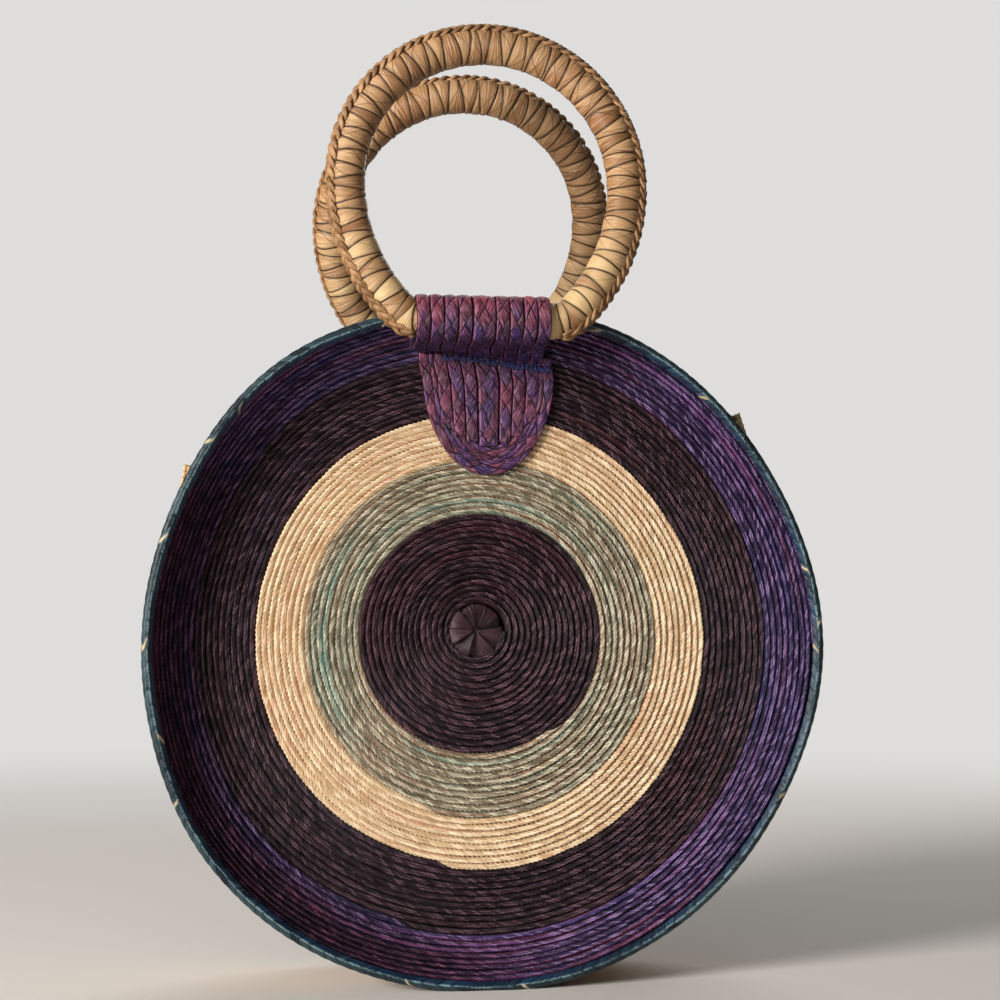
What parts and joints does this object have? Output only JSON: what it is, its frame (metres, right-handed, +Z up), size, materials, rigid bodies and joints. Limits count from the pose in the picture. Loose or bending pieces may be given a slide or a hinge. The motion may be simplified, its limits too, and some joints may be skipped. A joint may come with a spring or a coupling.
{
  "type": "palm circle bag",
  "caption": "Round palm-plait handbag with dished panels in concentric dyed bands, a side band open at the top, and wound ring handles that swing in folded strap tabs.",
  "frame": {"origin": "on the floor under the middle of the bag, at the bottom centre of its bounding box", "axes": "+Z up, +Y from the front panel to the rear panel, +X to the right seen from the front"},
  "size_m": [0.3542, 0.1418, 0.4939],
  "materials": {
    "palm_plum": "dyed palm plait",
    "palm_mint": "dyed palm plait",
    "palm_natural": "undyed palm plait",
    "palm_black": "dyed palm plait",
    "palm_purple": "dyed palm plait",
    "palm_teal": "dyed palm plait",
    "palm_wine": "dyed palm plait",
    "palm_side": "undyed palm plait",
    "handle_palm": "wound palm leaf",
    "cane_core": "raw cane",
    "thread_blue": "sewing thread",
    "thread_natural": "sewing thread"
  },
  "bodies": {
    "bag": {"front_centre_rosette": "palm_plum", "front_plum_coil": "palm_plum", "front_mint_coil": "palm_mint", "front_natural_coil": "palm_natural", "front_black_coil": "palm_black", "front_purple_coil": "palm_purple", "front_rim_binding": "palm_teal", "front_tab_sleeve": "palm_wine", "front_tab_strips": "palm_wine", "front_tab_border": "palm_wine", "front_tab_stitching": "thread_blue", "rear_centre_rosette": "palm_plum", "rear_plum_coil": "palm_plum", "rear_mint_coil": "palm_mint", "rear_natural_coil": "palm_natural", "rear_black_coil": "palm_black", "rear_purple_coil": "palm_purple", "rear_rim_binding": "palm_teal", "rear_tab_sleeve": "palm_wine", "rear_tab_strips": "palm_wine", "rear_tab_border": "palm_wine", "rear_tab_stitching": "thread_blue", "gusset_band": "palm_side", "gusset_end_folds": "palm_side", "gusset_front_seam": "thread_natural", "gusset_rear_seam": "thread_natural"},
    "front_handle": {"front_handle_core": "cane_core", "front_handle_wrap": "handle_palm", "front_handle_ridge": "handle_palm"},
    "rear_handle": {"rear_handle_core": "cane_core", "rear_handle_wrap": "handle_palm", "rear_handle_ridge": "handle_palm"}
  },
  "joints": [
    {"name": "front_handle_swing", "type": "hinge", "parent": "bag", "child": "front_handle", "pos_m": [0, -0.0585, 0.3419], "axis": [1, 0, 0], "range_deg": [-14, 190]},
    {"name": "rear_handle_swing", "type": "hinge", "parent": "bag", "child": "rear_handle", "pos_m": [0, 0.0585, 0.3419], "axis": [-1, 0, 0], "range_deg": [-1, 210]}
  ]
}
